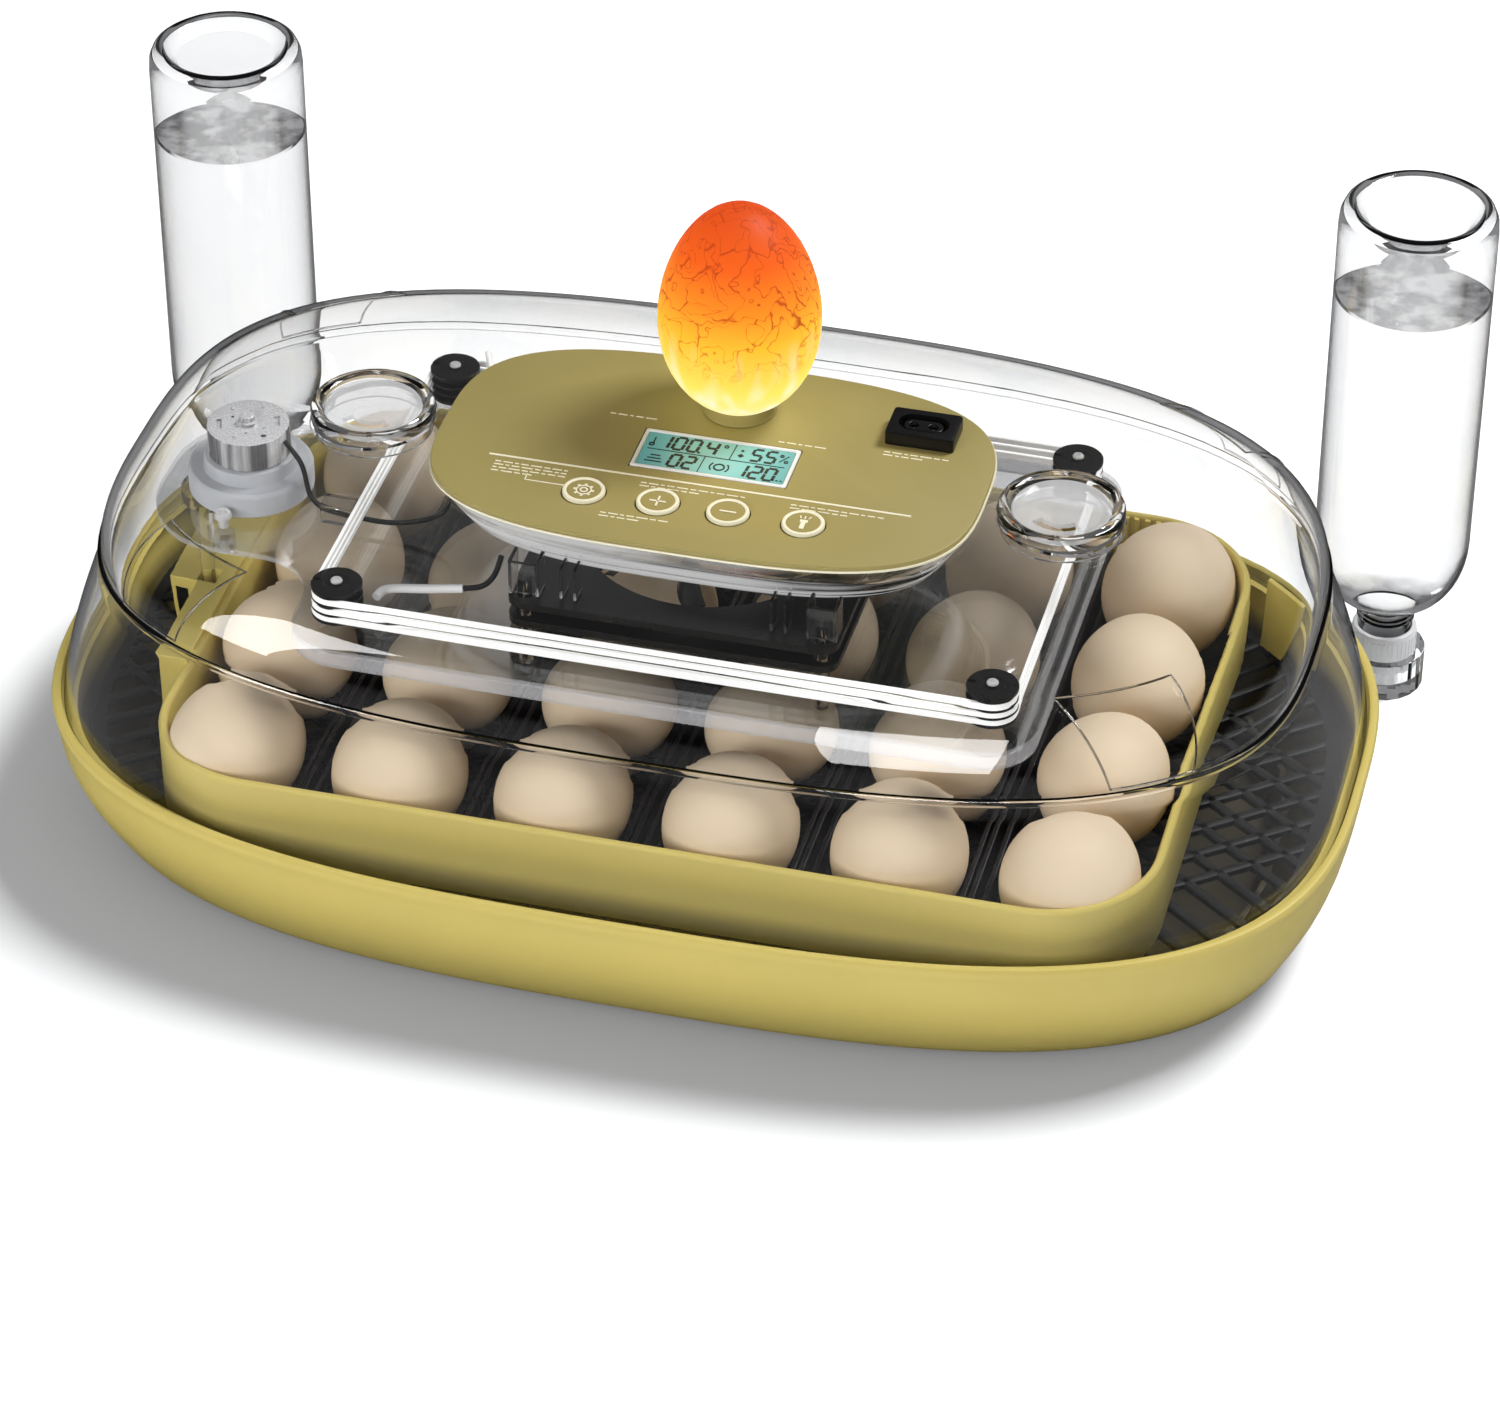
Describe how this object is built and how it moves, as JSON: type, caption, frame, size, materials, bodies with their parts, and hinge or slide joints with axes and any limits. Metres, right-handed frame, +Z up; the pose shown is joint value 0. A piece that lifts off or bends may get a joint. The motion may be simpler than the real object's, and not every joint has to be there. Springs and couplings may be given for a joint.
{
  "type": "egg incubator",
  "caption": "Table-top egg incubator with an oval base, a clear domed lid, a sliding egg frame, a fan and wire heater, and two inverted water bottles.",
  "frame": {"origin": "centre of the underside of the base", "axes": "+Z up, +X to the right end of the base, +Y to the back, where the bottles stand"},
  "size_m": [0.4592, 0.282, 0.19],
  "materials": {
    "olive_shell": "satin moulded plastic, olive gold",
    "panel_olive": "fine matt plastic, darker olive",
    "black_plastic": "satin black moulded plastic",
    "mat_black": "matt black lattice mat",
    "clear_plastic": "clear polished plastic",
    "baffle_clear": "grey-tinted clear plastic",
    "bottle_clear": "clear blown plastic",
    "white_plastic": "white moulded plastic",
    "grey_plastic": "mid grey moulded plastic",
    "motor_steel": "turned steel can",
    "bright_metal": "plated screw and pin metal",
    "display": "back-lit teal liquid crystal display",
    "lamp_lens": "warm white lamp lens",
    "board_green": "green solder mask",
    "wire_white": "white woven heater sleeve",
    "cable_black": "black flexible cable sheath"
  },
  "bodies": {
    "base": {"base_tub": "olive_shell", "water_tray": "olive_shell", "floor_mat": "mat_black", "water_port_left": "clear_plastic", "water_port_right": "clear_plastic", "water_guard_left": "olive_shell", "water_guard_right": "olive_shell"},
    "lid": {"dome_cover": "clear_plastic", "vent_ring_left": "clear_plastic", "vent_ring_right": "clear_plastic", "control_housing": "clear_plastic", "control_panel": "panel_olive", "lcd_bezel": "white_plastic", "lcd_screen": "display", "power_inlet": "black_plastic", "inlet_pin_left": "bright_metal", "inlet_pin_right": "bright_metal", "candler_cup": "panel_olive", "candler_lamp": "lamp_lens", "circuit_board": "board_green", "baffle_plate": "baffle_clear", "fan_lower_plate": "black_plastic", "fan_upper_plate": "black_plastic", "fan_motor": "black_plastic", "heating_wire": "wire_white", "heater_lead": "wire_white", "motor_can": "motor_steel", "motor_collar": "grey_plastic", "motor_screw_front": "bright_metal", "motor_screw_rear": "bright_metal", "motor_cable": "cable_black", "cable_clip": "clear_plastic", "probe_sleeve": "white_plastic", "probe_cable": "cable_black", "fan_post_front_left": "clear_plastic", "wire_spool_front_left": "black_plastic", "spool_screw_front_left": "bright_metal", "fan_post_front_right": "clear_plastic", "wire_spool_front_right": "black_plastic", "spool_screw_front_right": "bright_metal", "fan_post_rear_right": "clear_plastic", "wire_spool_rear_right": "black_plastic", "spool_screw_rear_right": "bright_metal", "fan_post_rear_left": "clear_plastic", "wire_spool_rear_left": "black_plastic", "spool_screw_rear_left": "bright_metal"},
    "turner": {"egg_frame": "olive_shell", "divider_grid": "black_plastic"},
    "crank": {"turner_crank": "clear_plastic"},
    "fan": {"fan_rotor": "black_plastic"},
    "set_button": {"button_set": "panel_olive"},
    "plus_button": {"button_plus": "panel_olive"},
    "minus_button": {"button_minus": "panel_olive"},
    "lamp_button": {"button_lamp": "panel_olive"},
    "left_vent": {"vent_dial_left": "white_plastic"},
    "right_vent": {"vent_dial_right": "white_plastic"},
    "left_bottle": {"bottle_left": "bottle_clear"},
    "left_cap": {"bottle_cap_left": "white_plastic"},
    "right_bottle": {"bottle_right": "bottle_clear"},
    "right_cap": {"bottle_cap_right": "white_plastic"}
  },
  "joints": [
    {"name": "lid_lift", "type": "slide", "parent": "base", "child": "lid", "axis": [0, 0, 1], "range_m": [0, 0.13]},
    {"name": "turner_slide", "type": "slide", "parent": "base", "child": "turner", "axis": [1, 0, 0], "range_m": [-0.005, 0.005]},
    {"name": "crank_turn", "type": "hinge", "parent": "lid", "child": "crank", "pos_m": [-0.171, 0, 0.088], "axis": [0, 0, 1], "range_deg": [-42, 42]},
    {"name": "fan_spin", "type": "hinge", "parent": "lid", "child": "fan", "pos_m": [0, 0, 0.1058], "axis": [0, 0, 1], "continuous": true},
    {"name": "set_press", "type": "slide", "parent": "lid", "child": "set_button", "axis": [0, 0, -1], "range_m": [0, 0.001]},
    {"name": "plus_press", "type": "slide", "parent": "lid", "child": "plus_button", "axis": [0, 0, -1], "range_m": [0, 0.001]},
    {"name": "minus_press", "type": "slide", "parent": "lid", "child": "minus_button", "axis": [0, 0, -1], "range_m": [0, 0.001]},
    {"name": "lamp_press", "type": "slide", "parent": "lid", "child": "lamp_button", "axis": [0, 0, -1], "range_m": [0, 0.001]},
    {"name": "left_vent_turn", "type": "hinge", "parent": "lid", "child": "left_vent", "pos_m": [-0.1135, 0, 0.1375], "axis": [0, 0, 1], "range_deg": [0, 90]},
    {"name": "right_vent_turn", "type": "hinge", "parent": "lid", "child": "right_vent", "pos_m": [0.1135, 0, 0.1375], "axis": [0, 0, 1], "range_deg": [0, 90]},
    {"name": "left_bottle_lift", "type": "slide", "parent": "base", "child": "left_bottle", "axis": [0, 0, 1], "range_m": [0, 0.06]},
    {"name": "left_cap_turn", "type": "hinge", "parent": "left_bottle", "child": "left_cap", "pos_m": [-0.2036, 0.1233, 0.0165], "axis": [0, 0, 1], "range_deg": [0, 360]},
    {"name": "right_bottle_lift", "type": "slide", "parent": "base", "child": "right_bottle", "axis": [0, 0, 1], "range_m": [0, 0.06]},
    {"name": "right_cap_turn", "type": "hinge", "parent": "right_bottle", "child": "right_cap", "pos_m": [0.2036, 0.1233, 0.0165], "axis": [0, 0, 1], "range_deg": [0, 360]}
  ],
  "couplings": [
    {"joint": "crank_turn", "follows": "turner_slide", "rad_per_m": 146}
  ]
}
